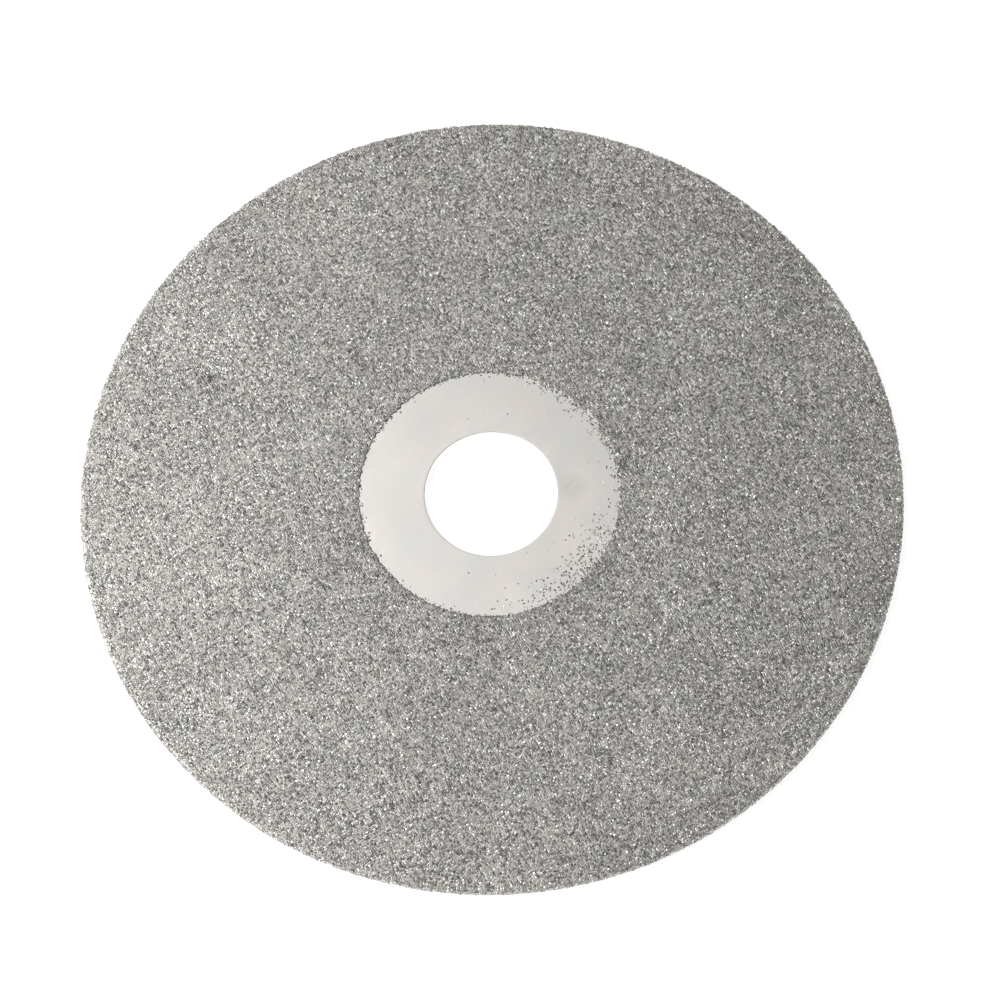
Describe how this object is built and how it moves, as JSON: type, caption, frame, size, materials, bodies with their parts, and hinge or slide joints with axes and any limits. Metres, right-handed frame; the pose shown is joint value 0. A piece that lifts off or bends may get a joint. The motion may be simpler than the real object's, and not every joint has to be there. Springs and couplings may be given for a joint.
{
  "type": "diamond grinding wheel",
  "caption": "Thin flat electroplated diamond disc with a round arbor bore, a bare nickel clamping ring and one layer of fine grit over the face and rim.",
  "frame": {"origin": "on the arbor bore's axis, in the plane of the back face", "axes": "+Z along the bore's axis, out of the gritted front face; +X and +Y lie in the back face and are interchangeable"},
  "size_m": [0.1, 0.1, 0.0012],
  "materials": {
    "steel": "cold-rolled sheet steel, unpolished",
    "nickel": "satin nickel plate over fine stamping grain",
    "bond_nickel": "matte electroplated nickel, undulating between crystals",
    "face_diamond": "fine faceted diamond grit, half buried, semi-gloss sparkle",
    "rim_diamond": "fine faceted diamond grit, half buried, semi-gloss sparkle"
  },
  "bodies": {
    "root": {"steel_blank": "steel", "nickel_plate": "nickel", "bond_coat": "bond_nickel", "face_grit": "face_diamond", "rim_grit": "rim_diamond"}
  },
  "joints": []
}
